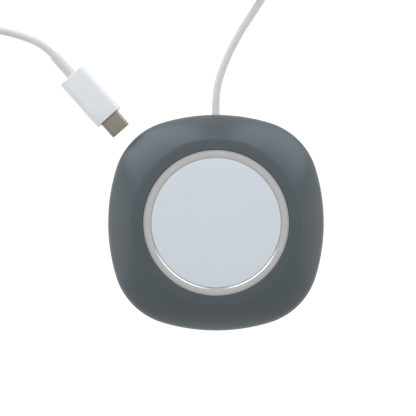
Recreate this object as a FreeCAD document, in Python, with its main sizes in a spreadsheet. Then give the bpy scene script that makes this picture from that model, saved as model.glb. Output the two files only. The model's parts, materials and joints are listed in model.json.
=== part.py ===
import FreeCAD, Part
import math
import os
import re

import Sketcher
from FreeCAD import Placement, Rotation, Vector

# A round magnetic charging puck seated in a silicone holder, with its captive
# cable and the connector on the cable's far end. Millimetres, +Z up, origin on
# the table under the middle of the holder, cable leaving towards +Y.

SIZES = {
    # silicone holder: a flat round rim on a skirt that widens to a rounded square
    "holderHalfWidth": 42.0,
    "holderHalfDiagonal": 45.5,
    "holderCornerRadius": 26.9,
    "holderTop": 11.5,
    "holderUnderside": 0.3,
    "skirtFoot": 3.5,
    "skirtFootSpread": 0.965,
    "skirtStraightness": 0.76,
    "skirtWidest": 1.7,
    "undersideSpread": 0.955,
    "rimRadius": 32.0,
    "pocketRadius": 27.95,
    # pad and plate under the holder
    "padInset": 5.0,
    "padThickness": 0.8,
    "padGlue": 0.15,
    "plateRadius": 30.5,
    "plateThickness": 2.0,
    "plateChamfer": 0.4,
    # aluminium puck
    "puckRadius": 27.9,
    "puckBottom": 6.2,
    "puckTop": 11.5,
    "puckFloor": 0.8,
    "puckHeel": 0.8,
    "puckShoulder": 0.7,
    "bezelRadius": 24.8,
    "bezelChamfer": 0.68,
    "bezelChamferDrop": 0.3,
    "ledgeRadius": 24.3,
    "ledgeHeight": 10.6,
    # white charging face
    "faceRadius": 24.75,
    "faceTop": 11.65,
    "faceEdge": 0.25,
    "faceGlue": 0.1,
    # stack inside the puck, from its floor up
    "filmRadius": 23.8,
    "filmThickness": 0.1,
    "boardRadius": 23.5,
    "boardThickness": 0.6,
    "cableNotch": 2.3,
    "frameBottom": 8.65,
    "frameWeb": 0.25,
    "frameTop": 10.25,
    "frameInner": 20.75,
    "frameWall": 0.35,
    "frameOuter": 24.2,
    "ferriteRadius": 20.6,
    "ferriteThickness": 0.5,
    "coilGlue": 0.05,
    "coilThickness": 0.7,
    "coilInner": 9.8,
    "coilPitch": 0.95,
    "coilWire": 0.75,
    "coilTurns": 11,
    "screenThickness": 0.06,
    "magnetInner": 21.2,
    "magnetOuter": 23.8,
    "magnetThickness": 1.0,
    "magnetCount": 18,
    "magnetGap": 0.35,
    "cableGapAngle": 26.0,
    "shuntThickness": 0.3,
    "antennaThickness": 0.1,
    # captive cable
    "cableRadius": 1.5,
    "cableAxisDrop": 0.05,
    "cableExitHeight": 1.6,
    "channelClearance": 0.15,
    "bootLength": 5.0,
    "bootRadius": 1.68,
    "bootTipRadius": 1.62,
    "clampLength": 1.8,
    "clampRadius": 1.65,
    "jacketEnd": 22.3,
    "coreRadius": 0.22,
    # spare cable, wound and tied: two layers of three turns, and two turns on top
    "spareCentreX": 5.0,
    "spareCentreY": 110.2,
    "spareInner": 11.1,
    "spareOuter": 20.1,
    "spareLayers": 6.0,
    "spareTop": 8.6,
    "spareRound": 0.8,
    "crownInner": 12.6,
    "crownOuter": 18.6,
    "tieThickness": 0.5,
    "tieWidth": 3.0,
    "tieSlack": 0.15,
    # connector on the far end; its own X runs along it to the tip
    "plugFrontX": -41.5,
    "plugFrontY": 40.95,
    "plugHeading": -48.3,
    "plugLength": 21.7,
    "plugWidth": 11.9,
    "plugHeight": 6.2,
    "plugEdge": 2.3,
    "plugEndEdge": 0.35,
    "plugWall": 1.1,
    "plugRearWall": 1.4,
    "collarLength": 10.4,
    "collarRadius": 2.05,
    "collarTipRadius": 1.95,
    "collarTipEdge": 0.2,
    "bezelThickness": 1.2,
    "shellWidth": 8.25,
    "shellHeight": 2.4,
    "shellLength": 6.9,
    "shellRoot": 5.0,
    "shellWall": 0.25,
    "shellRound": 1.15,
    "slotWidth": 7.0,
    "slotHeight": 1.08,
    "contactCount": 12,
    "contactPitch": 0.5,
    "contactWidth": 0.26,
    "contactThickness": 0.14,
    "contactReach": 4.9,
    "tailLength": 7.0,
    "cardThickness": 0.8,
    "cardWidth": 8.4,
    "cardLength": 11.0,
    "cardFront": 5.6,
    "canWall": 0.2,
    "canWidth": 9.2,
    "canHeight": 3.6,
    "canLength": 14.2,
    "canFront": 4.2,
}

CABLE_AXIS = "(puckBottom + puckTop) / 2 - cableAxisDrop"

# Free cable from the holder's rear to the wound spare length, and from there round
# to the connector: corners of each route, in order.
ROUTE_TO_SPARE = [
    (0.0, 42.0, 1.6),
    (0.0, 50.5, 1.6),
    (2.9, 62.0, 1.5),
    (8.7, 74.2, 1.5),
    (16.3, 85.2, 1.5),
    (22.8, 96.0, 1.6),
    (26.04, 104.89, 2.0),
]
ROUTE_TO_PLUG = [
    (-2.44, 130.14, 7.5),
    (-15.0, 125.3, 6.6),
    (-30.0, 117.6, 4.2),
    (-46.0, 112.4, 2.2),
    (-61.5, 110.0, 1.5),
    (-76.0, 109.6, 1.5),
    (-88.8, 107.4, 1.5),
    (-96.9, 101.5, 1.5),
    (-100.5, 92.8, 1.5),
    (-98.7, 83.6, 1.5),
    (-92.2, 76.6, 1.5),
    (-82.2, 74.5, 1.5),
    (-74.2, 72.7, 1.9),
    (-66.9, 69.47, 3.1),
]

doc = FreeCAD.newDocument("ChargingPad")
sizes = doc.addObject("Spreadsheet::Sheet", "Sizes")
for row, (alias, number) in enumerate(SIZES.items(), start=1):
    sizes.set("A%d" % row, alias)
    sizes.set("B%d" % row, str(number))
    sizes.setAlias("B%d" % row, alias)
doc.recompute()

sub_parts = []


def size(alias):
    return float(sizes.get(alias))


def bound(text):
    """The same expression with every size read from the spreadsheet."""
    def cell(match):
        word = match.group()
        return "Sizes." + word if word in SIZES else word
    return re.sub(r"[A-Za-z]\w*", cell, text)


def bind(item, **expressions):
    for name, text in expressions.items():
        item.setExpression(name.replace("_", "."), bound(text))
    return item


def keep(item, label):
    item.Label = label
    sub_parts.append(item)
    return item


def cylinder(radius, low, height, x="0", y="0"):
    item = doc.addObject("Part::Cylinder", "Cylinder")
    return bind(item, Radius=radius, Height=height,
                Placement_Base_x=x, Placement_Base_y=y, Placement_Base_z=low)


def block(x, y, z, length, width, height):
    item = doc.addObject("Part::Box", "Block")
    return bind(item, Length=length, Width=width, Height=height,
                Placement_Base_x=x, Placement_Base_y=y, Placement_Base_z=z)


def fused(items):
    if len(items) == 1:
        return items[0]
    item = doc.addObject("Part::MultiFuse", "Joined")
    item.Shapes = items
    return item


def cut(base, *tools):
    item = doc.addObject("Part::Cut", "Cut")
    item.Base = base
    item.Tool = fused(list(tools))
    return item


def ring(outer, inner, low, height):
    bore = cylinder(inner, low + " - 1", height + " + 2")
    return cut(cylinder(outer, low, height), bore)


def cable_opening(low, height, start):
    """Gap through the inner pieces where the cable comes in at the rear."""
    return block("-cableNotch", start, low + " - 1", "2 * cableNotch", "30", height + " + 2")


def grouped(items):
    item = doc.addObject("Part::Compound", "Group")
    item.Links = items
    return item


def shape_feature(shape):
    item = doc.addObject("Part::Feature", "Solid")
    item.Shape = shape
    return item


def cable_axis():
    """Height of the cable's axis inside the puck."""
    return (size("puckBottom") + size("puckTop")) / 2 - size("cableAxisDrop")


def put_on_plug(item):
    """Move a piece from the connector's own frame to where the connector lies."""
    item.Placement = Placement(Vector(), Rotation(Vector(0, 0, 1), size("plugHeading")))
    return bind(item, Placement_Base_x="plugFrontX", Placement_Base_y="plugFrontY",
                Placement_Base_z="plugHeight / 2")


# ---- sketch-based bodies

def new_body(name):
    return doc.addObject("PartDesign::Body", name)


def new_sketch(body, role, offset=None):
    sketch = body.newObject("Sketcher::SketchObject", "Outline")
    origin_plane = next(f for f in body.Origin.OriginFeatures if f.Role == role)
    sketch.AttachmentSupport = (origin_plane, "")
    sketch.MapMode = "FlatFace"
    if offset:
        sketch.setExpression("AttachmentOffset.Base.z", bound(offset))
    return sketch


def outline(body, role, corners, offset=None):
    """Closed outline of straight lines; each corner is a pair of expressions."""
    sketch = new_sketch(body, role, offset)
    count = len(corners)
    start = [Vector(40 + 9 * math.cos(2 * math.pi * i / count),
                    40 + 9 * math.sin(2 * math.pi * i / count), 0) for i in range(count)]
    for i in range(count):
        sketch.addGeometry(Part.LineSegment(start[i], start[(i + 1) % count]), False)
    for i in range(count):
        sketch.addConstraint(Sketcher.Constraint("Coincident", i, 2, (i + 1) % count, 1))
    for i, corner in enumerate(corners):
        for kind, across, text, at in (("DistanceX", -2, corner[0], start[i].x),
                                       ("DistanceY", -1, corner[1], start[i].y)):
            if text == "0":
                sketch.addConstraint(Sketcher.Constraint("PointOnObject", i, 1, across))
                continue
            number = sketch.addConstraint(Sketcher.Constraint(kind, -1, 1, i, 1, at))
            sketch.setExpression("Constraints[%d]" % number, bound(text))
    return sketch


def circle(body, role, radius, across="0", up="0", offset=None):
    sketch = new_sketch(body, role, offset)
    sketch.addGeometry(Part.Circle(Vector(5, 5, 0), Vector(0, 0, 1), 3), False)
    number = sketch.addConstraint(Sketcher.Constraint("Radius", 0, 3))
    sketch.setExpression("Constraints[%d]" % number, bound(radius))
    for kind, line, text in (("DistanceX", -2, across), ("DistanceY", -1, up)):
        if text == "0":
            sketch.addConstraint(Sketcher.Constraint("PointOnObject", 0, 3, line))
            continue
        number = sketch.addConstraint(Sketcher.Constraint(kind, -1, 1, 0, 3, 5))
        sketch.setExpression("Constraints[%d]" % number, bound(text))
    return sketch


def revolve(body, sketch, axis):
    feature = body.newObject("PartDesign::Revolution", "Turned")
    feature.Profile = sketch
    feature.ReferenceAxis = (sketch, [axis])
    feature.Angle = 360
    doc.recompute()
    return feature


def pad(body, sketch, length, backwards=False):
    feature = body.newObject("PartDesign::Pad", "Padded")
    feature.Profile = sketch
    feature.Reversed = backwards
    bind(feature, Length=length)
    doc.recompute()
    return feature


def pocket(body, sketch, length, backwards=False):
    feature = body.newObject("PartDesign::Pocket", "Pocketed")
    feature.Profile = sketch
    feature.Reversed = backwards
    bind(feature, Length=length)
    before = body.Shape.Volume
    doc.recompute()
    if body.Shape.Volume >= before - 1e-6:
        raise RuntimeError("a pocket in %s cuts nothing" % body.Name)
    return feature


def edges_where(feature, test):
    return ["Edge%d" % (i + 1) for i, edge in enumerate(feature.Shape.Edges) if test(edge)]


def soften(body, kind, base, test, amount):
    """Fillet or chamfer every edge of the feature that passes the test."""
    feature = body.newObject("PartDesign::" + kind, kind)
    feature.Base = (base, edges_where(base, test))
    if kind == "Fillet":
        bind(feature, Radius=amount)
    else:
        bind(feature, Size=amount)
    doc.recompute()
    return feature


def along_x(edge):
    box = edge.BoundBox
    return box.YLength < 1e-6 and box.ZLength < 1e-6


def flat_at_z(height):
    def test(edge):
        box = edge.BoundBox
        return box.ZLength < 1e-6 and abs(box.ZMin - height) < 1e-6
    return test


def flat_at_x(place):
    def test(edge):
        box = edge.BoundBox
        return box.XLength < 1e-6 and abs(box.XMin - place) < 1e-6
    return test


def rectangle(width, height):
    return [("-" + width + " / 2", "-" + height + " / 2"), (width + " / 2", "-" + height + " / 2"),
            (width + " / 2", height + " / 2"), ("-" + width + " / 2", height + " / 2")]


# ---- the holder's outline

def holder_outline(spread, height, inset=0.0):
    """Rounded square of eight tangent arcs: spread 0 is the round rim, 1 the full width."""
    rim = size("rimRadius")
    spread = max(spread, 0.001)
    half = rim + (size("holderHalfWidth") - rim) * spread - inset
    diagonal = rim + (size("holderHalfDiagonal") - rim) * spread - inset
    corner = rim + (size("holderCornerRadius") - rim) * spread - inset
    centre = (diagonal - corner) / math.sqrt(2)
    side = ((corner ** 2 - (half - centre) ** 2 - centre ** 2)
            / (2 * (corner - half + centre)))
    meet = math.atan2(centre, centre - half + side)
    edges = []
    for quarter in range(4):
        turn = quarter * math.pi / 2

        def spot(x, y, radius, angle):
            px = x + radius * math.cos(angle)
            py = y + radius * math.sin(angle)
            return Vector(px * math.cos(turn) - py * math.sin(turn),
                          px * math.sin(turn) + py * math.cos(turn), height)

        edges.append(Part.Arc(spot(half - side, 0, side, -meet), spot(half - side, 0, side, 0),
                              spot(half - side, 0, side, meet)).toShape())
        edges.append(Part.Arc(spot(centre, centre, corner, meet),
                              spot(centre, centre, corner, math.pi / 4),
                              spot(centre, centre, corner, math.pi / 2 - meet)).toShape())
    return Part.Wire(edges)


def skirt_height(spread):
    """The skirt leaves the rim at a shallow slope and steepens towards its foot."""
    drop = size("holderTop") - size("skirtFoot")
    straight = size("skirtStraightness")
    return size("holderTop") - drop * (straight * spread + (1 - straight) * spread ** 3)


def holder_block():
    foot_spread = size("skirtFootSpread")
    upper = [holder_outline(foot_spread * step, skirt_height(step)) for step in (0, 0.35, 0.7, 1)]
    lower = [holder_outline(foot_spread, size("skirtFoot")),
             holder_outline(1, size("skirtWidest")),
             holder_outline(size("undersideSpread"), size("holderUnderside"))]
    skirt = Part.makeLoft(upper, True, False)
    foot = Part.makeLoft(lower, True, False)
    return shape_feature(skirt.fuse(foot).removeSplitter())


def slab(wire, thickness):
    return Part.Face(wire).extrude(Vector(0, 0, thickness))


def pad_slab(low, thickness, clearance=0.0):
    return slab(holder_outline(1, low, size("padInset") - clearance), thickness)


# ---- cable paths

def bent_path(points, share=0.45):
    """Straight runs joined by tangent arcs, as large as the two runs beside each allow."""
    corners = [Vector(*point) for point in points]
    edges, radii = [], []
    here = corners[0]
    for before, corner, after in zip(corners, corners[1:], corners[2:]):
        back = (before - corner).normalize()
        ahead = (after - corner).normalize()
        turn = math.pi - back.getAngle(ahead)
        reach = share * min((before - corner).Length, (after - corner).Length)
        radius = reach / math.tan(turn / 2)
        middle = (back + ahead).normalize()
        leave = corner + back * reach
        join = corner + ahead * reach
        top = corner + middle * (radius / math.cos(turn / 2) - radius)
        edges.append(Part.LineSegment(here, leave).toShape())
        edges.append(Part.Arc(leave, top, join).toShape())
        radii.append(radius)
        here = join
    edges.append(Part.LineSegment(here, corners[-1]).toShape())
    return Part.Wire(edges), radii


def tube(path, radius):
    first = path.OrderedEdges[0]
    start = first.valueAt(first.FirstParameter)
    heading = first.tangentAt(first.FirstParameter)
    section = Part.Wire(Part.makeCircle(radius, start, heading))
    return path.makePipeShell([section], True, False)


def channel_path(overrun=0.0):
    """Cable inside the puck and holder: straight out of the puck, then an S down to the exit."""
    high, low = cable_axis(), size("cableExitHeight")
    start = size("puckRadius") + size("bootLength") - (size("puckRadius") - size("ledgeRadius"))
    finish = size("holderHalfWidth")
    lean = 2 * math.atan((high - low) / (finish - start))
    bend = (finish - start) / (2 * math.sin(lean))
    middle = Vector(0, (start + finish) / 2, (high + low) / 2)
    half_y, half_z = bend * math.sin(lean / 2), bend * (1 - math.cos(lean / 2))
    edges = [
        Part.LineSegment(Vector(0, size("jacketEnd"), high), Vector(0, start, high)).toShape(),
        Part.Arc(Vector(0, start, high), Vector(0, start + half_y, high - half_z),
                 middle).toShape(),
        Part.Arc(middle, Vector(0, finish - half_y, low + half_z),
                 Vector(0, finish, low)).toShape(),
    ]
    if overrun:
        edges.append(Part.LineSegment(Vector(0, finish, low),
                                      Vector(0, finish + overrun, low)).toShape())
    return Part.Wire(edges), bend


# ---- holder

def make_silicone_holder():
    pocket_space = cylinder("pocketRadius", "puckBottom", "20")
    recess = shape_feature(pad_slab(0, size("padThickness") + size("padGlue"), 0.1))
    plate_space = cylinder("plateRadius", "0", "padThickness + padGlue + plateThickness")
    path, bend = channel_path(overrun=2.0)
    channel = shape_feature(tube(path, size("cableRadius") + size("channelClearance")))
    boot_space = doc.addObject("Part::Cylinder", "BootSpace")
    boot_space.Placement = Placement(Vector(), Rotation(Vector(1, 0, 0), -90))
    bind(boot_space, Radius="bootRadius + channelClearance", Height="bootLength + 0.3",
         Placement_Base_y="ledgeRadius", Placement_Base_z=CABLE_AXIS)
    print("cable channel bend radius %.1f" % bend)
    keep(cut(holder_block(), pocket_space, recess, plate_space, channel, boot_space),
         "silicone_holder")


def make_weight_plate():
    body = new_body("WeightPlate")
    disc = pad(body, circle(body, "XY_Plane", "plateRadius"), "plateThickness")
    soften(body, "Chamfer", disc, flat_at_z(size("plateThickness")), "plateChamfer")
    bind(body, Placement_Base_z="padThickness + padGlue")
    keep(body, "weight_plate")


def make_grip_pad():
    keep(shape_feature(pad_slab(0, size("padThickness"))), "grip_pad")
    keep(shape_feature(pad_slab(size("padThickness"), size("padGlue"))), "grip_pad_adhesive")


# ---- puck shell and face

def make_puck_housing():
    body = new_body("PuckHousing")
    profile = [
        ("0", "puckBottom"),
        ("puckRadius - puckHeel", "puckBottom"),
        ("puckRadius", "puckBottom + puckHeel"),
        ("puckRadius", "puckTop"),
        ("bezelRadius + bezelChamfer", "puckTop"),
        ("bezelRadius", "puckTop - bezelChamferDrop"),
        ("bezelRadius", "ledgeHeight"),
        ("ledgeRadius", "ledgeHeight"),
        ("ledgeRadius", "puckBottom + puckFloor"),
        ("0", "puckBottom + puckFloor"),
    ]
    turned = revolve(body, outline(body, "XZ_Plane", profile), "V_Axis")

    def shoulder(edge):
        return (flat_at_z(size("puckTop"))(edge)
                and edge.BoundBox.XMax > size("puckRadius") - size("puckShoulder"))

    soften(body, "Fillet", turned, shoulder, "puckShoulder")
    port = circle(body, "XZ_Plane", "bootRadius", up=CABLE_AXIS)
    pocket(body, port, "puckRadius + 2")
    keep(body, "puck_housing")


def make_puck_face():
    body = new_body("PuckFace")
    low = "ledgeHeight + faceGlue"
    profile = [
        ("0", low),
        ("faceRadius", low),
        ("faceRadius", "faceTop - faceEdge"),
        ("faceRadius - faceEdge", "faceTop"),
        ("0", "faceTop"),
    ]
    revolve(body, outline(body, "XZ_Plane", profile), "V_Axis")
    keep(body, "puck_face")
    keep(ring("faceRadius", "ledgeRadius + 0.1", "ledgeHeight", "faceGlue"), "face_adhesive")


# ---- circuit board at the puck's floor

BOARD_LOW = "puckBottom + puckFloor + filmThickness"
BOARD_TOP = BOARD_LOW + " + boardThickness"


def board_top():
    return (size("puckBottom") + size("puckFloor") + size("filmThickness")
            + size("boardThickness"))


def make_board():
    keep(cylinder("filmRadius", "puckBottom + puckFloor", "filmThickness"), "board_film")
    disc = cylinder("boardRadius", BOARD_LOW, "boardThickness")
    opening = cable_opening(BOARD_LOW, "boardThickness", "21.2")
    holes = [cylinder("0.8", BOARD_LOW + " - 1", "boardThickness + 2", x=x, y=y)
             for x, y in (("16", "-14"), ("-16", "-14"))]
    keep(cut(disc, opening, *holes), "control_board")


def chips(places, height):
    """Rectangular parts standing on the board: centre x, y, then length and width."""
    solids = []
    for x, y, length, width in places:
        solids.append(Part.makeBox(length, width, height,
                                   Vector(x - length / 2, y - width / 2, board_top())))
    return shape_feature(Part.makeCompound(solids))


def make_board_parts():
    keep(chips([(-7, 9, 5, 5), (4.5, 10.5, 4, 4), (-12, -3, 3, 3), (13.5, 2.5, 3, 2.5)], 0.8),
         "power_chips")
    row = [(-16 + 1.7 * i, -9.5, 0.6, 1.2) for i in range(8)]
    column = [(7.8, 5.2 - 1.6 * i, 1.2, 0.6) for i in range(7)]
    keep(chips(row + column, 0.55), "board_capacitors")
    keep(chips([(13, -5, 4, 4), (13, -10.5, 4, 4)], 0.85), "power_inductors")


def make_shield_can():
    body = new_body("ShieldCan")
    block_outer = pad(body, outline(body, "XY_Plane", [
        ("-5.5", "-14.5"), ("5.5", "-14.5"), ("5.5", "-6.5"), ("-5.5", "-6.5")]), "0.8")
    soften(body, "Fillet", block_outer, flat_at_z(0.8), "0.2")
    inside = outline(body, "XY_Plane", [
        ("-5.35", "-14.35"), ("5.35", "-14.35"), ("5.35", "-6.65"), ("-5.35", "-6.65")])
    pocket(body, inside, "0.65", backwards=True)
    bind(body, Placement_Base_z=BOARD_TOP)
    keep(body, "shield_can")


def core_places():
    pitch = 2.6 * size("coreRadius")
    return [pitch * (i - 1.5) for i in range(4)]


def make_wire_cores():
    """Four insulated cores from the end of the jacket down to the board."""
    high, low = cable_axis(), board_top() + 0.3
    solids = []
    for x in core_places():
        start = Vector(x, size("jacketEnd") - 0.15, high)
        finish = Vector(x, 18.6, low)
        solids.append(Part.makeCylinder(size("coreRadius"), (finish - start).Length,
                                        start, finish - start))
    keep(shape_feature(Part.makeCompound(solids)), "wire_cores")


def make_solder_joints():
    beads = [Part.makeCone(0.27, 0.2, 0.45, Vector(x, 18.0, board_top()))
             for x in core_places()]
    keep(shape_feature(Part.makeCompound(beads)), "solder_joints")


# ---- coil, magnets and screens

FRAME_FLOOR = "frameBottom + frameWeb"


def frame_floor():
    return size("frameBottom") + size("frameWeb")


def lead_places():
    """Where the spiral starts and ends, and its leads go down to the board."""
    start = size("coilInner")
    finish = start + size("coilPitch") * size("coilTurns")
    return [(start, 0.0), (finish, 0.0)]


def make_coil_frame():
    web = cylinder("frameOuter", "frameBottom", "frameWeb")
    inner = ring("frameInner + frameWall", "frameInner", FRAME_FLOOR,
                 "frameTop - frameBottom - frameWeb")
    outer = ring("frameOuter", "frameOuter - frameWall", FRAME_FLOOR,
                 "frameTop - frameBottom - frameWeb")
    holes = [cylinder("0.45", "frameBottom - 1", "frameWeb + 2", x="%.3f" % (x - 0.4), y="0")
             for x, y in lead_places()]
    opening = cable_opening("frameBottom", "frameTop", "17.2")
    keep(cut(fused([web, inner, outer]), opening, *holes), "coil_frame")


def make_ferrite():
    holes = [cylinder("0.45", FRAME_FLOOR + " - 1", "ferriteThickness + 2",
                      x="%.3f" % (x - 0.4), y="0") for x, y in lead_places()]
    disc = cylinder("ferriteRadius", FRAME_FLOOR, "ferriteThickness")
    keep(cut(disc, *holes), "ferrite_plate")


def make_charging_coil():
    """Flat spiral of half circles whose centres step sideways by half a pitch."""
    low = frame_floor() + size("ferriteThickness") + size("coilGlue")
    half = size("coilWire") / 2
    step = size("coilPitch") / 2
    inner, outer = [], []
    radius = size("coilInner")
    for i in range(2 * int(size("coilTurns"))):
        centre = 0.0 if i % 2 == 0 else step
        side = 1 if i % 2 == 0 else -1
        for edge_radius, edges in ((radius - half, inner), (radius + half, outer)):
            edges.append(Part.Arc(Vector(centre + side * edge_radius, 0, low),
                                  Vector(centre, side * edge_radius, low),
                                  Vector(centre - side * edge_radius, 0, low)).toShape())
        radius += step
    ends = []
    for which in (0, -1):
        a, b = inner[which].Vertexes[which].Point, outer[which].Vertexes[which].Point
        ends.append(Part.LineSegment(a, b).toShape())
    wire = Part.Wire(Part.__sortEdges__(inner + outer + ends))
    keep(shape_feature(slab(wire, size("coilThickness"))), "charging_coil")
    keep(ring("ferriteRadius - 0.2", "coilInner - 1", FRAME_FLOOR + " + ferriteThickness",
              "coilGlue"), "coil_adhesive")


def make_coil_leads():
    top = frame_floor() + size("ferriteThickness") - 0.05
    pins = [Part.makeCylinder(0.3, top - board_top(), Vector(x - 0.4, y, board_top()))
            for x, y in lead_places()]
    keep(shape_feature(Part.makeCompound(pins)), "coil_leads")


def make_screen_film():
    top = FRAME_FLOOR + " + ferriteThickness + coilGlue + coilThickness"
    keep(cylinder("ferriteRadius", top, "screenThickness"), "coil_screen")


def sector(inner, outer, low, height, start, sweep):
    """Part of a ring, from the start angle through the sweep, in degrees."""
    solid = Part.makeCylinder(outer, height, Vector(0, 0, low), Vector(0, 0, 1), sweep)
    bore = Part.makeCylinder(inner, height + 2, Vector(0, 0, low - 1))
    solid = solid.cut(bore)
    solid.rotate(Vector(), Vector(0, 0, 1), start)
    return solid


def make_magnets():
    inner, outer = size("magnetInner"), size("magnetOuter")
    open_angle = size("cableGapAngle")
    first = 90 + open_angle / 2
    low = frame_floor() + size("shuntThickness")
    share = (360 - open_angle) / size("magnetCount")
    gap = math.degrees(size("magnetGap") / inner)
    segments = [sector(inner, outer, low, size("magnetThickness"), first + share * i, share - gap)
                for i in range(int(size("magnetCount")))]
    keep(shape_feature(Part.makeCompound(segments)), "magnet_segments")
    shunt = sector(inner, outer, frame_floor(), size("shuntThickness"), first, 360 - open_angle)
    keep(shape_feature(shunt), "magnet_backing_ring")
    antenna = sector(inner, outer, low + size("magnetThickness") + 0.1,
                     size("antennaThickness"), first, 360 - open_angle)
    keep(shape_feature(antenna), "reader_antenna")


# ---- cable in the holder

def make_cable_boot():
    body = new_body("CableBoot")
    profile = [
        ("ledgeRadius", "cableRadius"),
        ("ledgeRadius + bootLength", "cableRadius"),
        ("ledgeRadius + bootLength", "bootTipRadius"),
        ("puckRadius", "bootRadius"),
        ("ledgeRadius", "bootRadius"),
    ]
    revolve(body, outline(body, "YZ_Plane", profile), "H_Axis")
    bind(body, Placement_Base_z=CABLE_AXIS)
    keep(body, "puck_cable_boot")


def make_cable_clamp():
    body = new_body("CableClamp")
    profile = [
        ("ledgeRadius - 0.1 - clampLength", "cableRadius"),
        ("ledgeRadius - 0.1", "cableRadius"),
        ("ledgeRadius - 0.1", "clampRadius"),
        ("ledgeRadius - 0.1 - clampLength", "clampRadius"),
    ]
    revolve(body, outline(body, "YZ_Plane", profile), "H_Axis")
    bind(body, Placement_Base_z=CABLE_AXIS)
    keep(body, "puck_cable_clamp")


def make_cable(label, path):
    solid = tube(path, size("cableRadius"))
    expected = path.Length * math.pi * size("cableRadius") ** 2
    print("%s: length %.1f, volume %.1f of %.1f" % (label, path.Length, solid.Volume, expected))
    keep(shape_feature(solid), label)


def make_cables():
    path, bend = channel_path()
    make_cable("cable_in_holder", path)
    plug_end = Vector(size("plugFrontX"), size("plugFrontY"), size("plugHeight") / 2)
    heading = math.radians(size("plugHeading"))
    back = size("plugLength") + size("collarLength")
    plug_end = plug_end - Vector(math.cos(heading), math.sin(heading), 0) * back
    routes = (("cable_pad_to_spare", ROUTE_TO_SPARE),
              ("cable_spare_to_plug", ROUTE_TO_PLUG + [tuple(plug_end)]))
    for label, route in routes:
        path, radii = bent_path(route)
        print("%s: bend radii %s" % (label, " ".join("%.1f" % r for r in radii)))
        make_cable(label, path)


def make_spare_cable():
    """Outer shape of the wound turns: a ring that narrows to its top layer."""
    body = new_body("SpareCable")
    low, layers = "tieThickness", "tieThickness + spareLayers"
    profile = [
        ("spareInner + spareRound", low),
        ("spareOuter - spareRound", low),
        ("spareOuter", low + " + spareRound"),
        ("spareOuter", layers),
        ("crownOuter", "tieThickness + spareTop"),
        ("crownInner", "tieThickness + spareTop"),
        ("spareInner", layers),
        ("spareInner", low + " + spareRound"),
    ]
    revolve(body, outline(body, "XZ_Plane", profile), "V_Axis")
    bind(body, Placement_Base_x="spareCentreX", Placement_Base_y="spareCentreY")
    keep(body, "cable_spare_turns")


def make_cable_ties():
    """Two flat straps round the turns, one each side; the wound cable rests on them."""
    thick, width, slack = size("tieThickness"), size("tieWidth"), size("tieSlack")
    inner, outer = size("spareInner") - slack, size("spareOuter") + slack
    tall = size("spareTop") + slack
    straps = []
    for angle in (200, 20):
        band = Part.makeBox(outer - inner + 2 * thick, width, tall + 2 * thick,
                            Vector(inner - thick, -width / 2, 0))
        hole = Part.makeBox(outer - inner, width + 2, tall, Vector(inner, -width / 2 - 1, thick))
        strap = band.cut(hole)
        strap.rotate(Vector(), Vector(0, 0, 1), angle)
        strap.translate(Vector(size("spareCentreX"), size("spareCentreY"), 0))
        straps.append(strap)
    keep(shape_feature(Part.makeCompound(straps)), "cable_ties")


# ---- connector

def make_plug_housing():
    body = new_body("PlugHousing")
    block_outer = pad(body, outline(body, "YZ_Plane", rectangle("plugWidth", "plugHeight")),
                      "plugLength", backwards=True)
    rounded = soften(body, "Fillet", block_outer, along_x, "plugEdge")
    eased = soften(body, "Fillet", rounded, flat_at_x(-size("plugLength")), "plugEndEdge")
    soften(body, "Fillet", eased, flat_at_x(0.0), "plugEndEdge / 2")
    inside = outline(body, "YZ_Plane", rectangle("(plugWidth - 2 * plugWall)",
                                                 "(plugHeight - 2 * plugWall)"))
    pocket(body, inside, "plugLength - plugRearWall")
    hole = circle(body, "YZ_Plane", "collarRadius", offset="-plugLength")
    pocket(body, hole, "plugRearWall + 0.5", backwards=True)
    keep(put_on_plug(body), "plug_housing")


def make_plug_bezel():
    body = new_body("PlugBezel")
    pad(body, outline(body, "YZ_Plane", rectangle("(plugWidth - 2 * plugWall)",
                                                  "(plugHeight - 2 * plugWall)")),
        "bezelThickness", backwards=True)
    hole = outline(body, "YZ_Plane", rectangle("shellWidth", "shellHeight"))
    pocket(body, hole, "bezelThickness + 1")
    keep(put_on_plug(body), "plug_front_bezel")


def shell_core(rear, length):
    """Solid with the rounded section of the space inside the metal shell."""
    body = new_body("ShellCore")
    width = "(shellWidth - 2 * shellWall)"
    height = "(shellHeight - 2 * shellWall)"
    core = pad(body, outline(body, "YZ_Plane", rectangle(width, height), offset=rear), length)
    soften(body, "Fillet", core, along_x, "shellRound - shellWall")
    return body


def make_plug_shell():
    body = new_body("PlugShell")
    block_outer = pad(body, outline(body, "YZ_Plane", rectangle("shellWidth", "shellHeight"),
                                    offset="-shellRoot"), "shellRoot + shellLength")
    soften(body, "Fillet", block_outer, along_x, "shellRound")
    bore = shell_core("-shellRoot - 1", "shellRoot + shellLength + 2")
    keep(put_on_plug(cut(body, bore)), "plug_shell")


def make_plug_insulator():
    core = shell_core("-shellRoot", "shellRoot + shellLength - 1.7")
    slot = block("-shellRoot - 1", "-slotWidth / 2", "-slotHeight / 2",
                 "shellRoot + shellLength", "slotWidth", "slotHeight")
    keep(put_on_plug(cut(core, slot)), "plug_insulator")


def contact_row(low):
    solids = []
    count = int(size("contactCount"))
    width, pitch = size("contactWidth"), size("contactPitch")
    for i in range(count):
        y = pitch * (i - (count - 1) / 2) - width / 2
        solids.append(Part.makeBox(size("tailLength") + size("contactReach"), width,
                                   size("contactThickness"),
                                   Vector(-size("tailLength"), y, low)))
    return shape_feature(Part.makeCompound(solids))


def make_contacts():
    half_slot, thick = size("slotHeight") / 2, size("contactThickness")
    keep(put_on_plug(contact_row(half_slot - thick)), "contacts_upper")
    keep(put_on_plug(contact_row(-half_slot)), "contacts_lower")


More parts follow.
